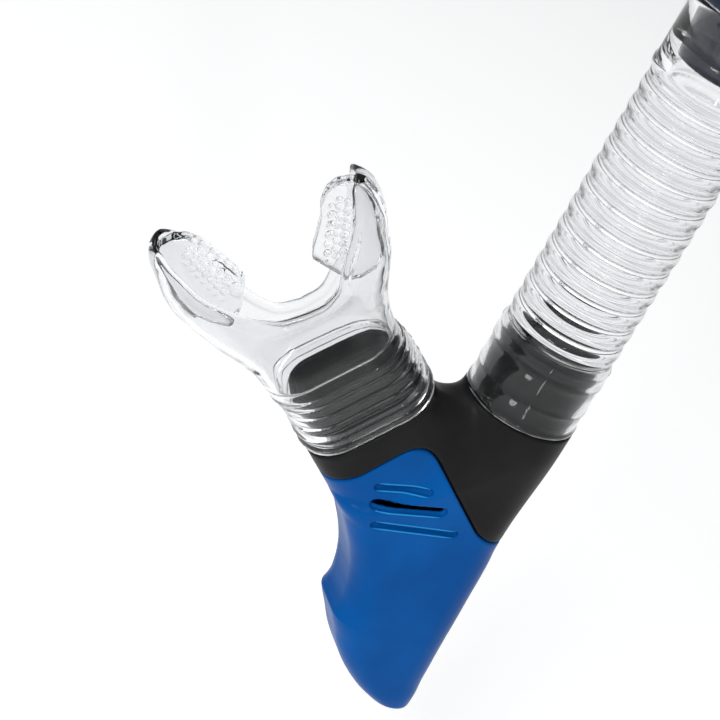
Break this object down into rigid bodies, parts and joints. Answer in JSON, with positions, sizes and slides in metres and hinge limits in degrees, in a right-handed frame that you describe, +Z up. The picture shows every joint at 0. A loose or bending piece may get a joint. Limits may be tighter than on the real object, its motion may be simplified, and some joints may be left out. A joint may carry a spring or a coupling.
{
  "type": "snorkel tube",
  "caption": "Snorkel with a clear silicone mouthpiece, Y-shaped purge housing with a blue cover, corrugated flex hose, dark barrel with a strap keeper and a float-valve dry top.",
  "frame": {"origin": "on the barrel's axis at the middle of the mask-strap keeper", "axes": "+Z up along the straight barrel towards the dry top, -X towards the mouthpiece and the diver's face, +Y across the snorkel"},
  "size_m": [0.1364, 0.038, 0.4514],
  "materials": {
    "silicone_clear": "clear moulded silicone with a soft gloss",
    "housing_black": "satin black with a fine moulded texture",
    "cover_blue": "smooth satin-gloss blue",
    "barrel_navy": "smooth gloss dark navy",
    "fitting_black": "fine matt black",
    "valve_silicone": "thin milky silicone",
    "seal_rubber": "matt black nitrile rubber",
    "pin_steel": "plain stainless steel",
    "float_grey": "matt grey closed-cell float"
  },
  "bodies": {
    "barrel": {"barrel": "barrel_navy", "top_base": "fitting_black", "top_o_ring": "seal_rubber", "lever_pin": "pin_steel", "top_cap": "cover_blue", "cap_pin_front": "pin_steel", "cap_pin_back": "pin_steel"},
    "hose": {"flex_hose": "silicone_clear"},
    "lower": {"purge_housing": "housing_black", "purge_cover": "cover_blue", "valve_seat": "fitting_black", "mouthpiece": "silicone_clear"},
    "diaphragm": {"purge_diaphragm": "valve_silicone"},
    "keeper": {"keeper_sleeve": "fitting_black", "keeper_rivet": "pin_steel"},
    "strap_plate": {"keeper_plate": "fitting_black"},
    "release_button": {"keeper_button": "cover_blue"},
    "float_arm": {"float_lever": "fitting_black", "flap_seal": "valve_silicone", "float": "float_grey"}
  },
  "joints": [
    {"name": "hose_twist", "type": "hinge", "parent": "barrel", "child": "hose", "pos_m": [0, 0, -0.05], "axis": [0, 0, 1], "range_deg": [-90, 90]},
    {"name": "hose_bend", "type": "hinge", "parent": "hose", "child": "lower", "pos_m": [0, 0, -0.1017], "axis": [0, 1, 0], "range_deg": [-35, 35], "stiffness_Nm_per_rad": 0.8, "deforming": ["flex_hose"]},
    {"name": "diaphragm_lift", "type": "slide", "parent": "lower", "child": "diaphragm", "axis": [0, 0, -1], "range_m": [0, 0.0015], "stiffness_N_per_m": 200},
    {"name": "keeper_slide", "type": "slide", "parent": "barrel", "child": "keeper", "axis": [0, 0, 1], "range_m": [-0.02, 0.02]},
    {"name": "plate_swivel", "type": "hinge", "parent": "keeper", "child": "strap_plate", "pos_m": [-0.0231, 0, 0], "axis": [1, 0, 0], "range_deg": [-25, 25]},
    {"name": "button_press", "type": "slide", "parent": "keeper", "child": "release_button", "axis": [0, 0, -1], "range_m": [0, 0.0012], "stiffness_N_per_m": 800},
    {"name": "float_swing", "type": "hinge", "parent": "barrel", "child": "float_arm", "pos_m": [-0.00518, 0, 0.16388], "axis": [0, -1, 0], "range_deg": [0, 14]}
  ]
}
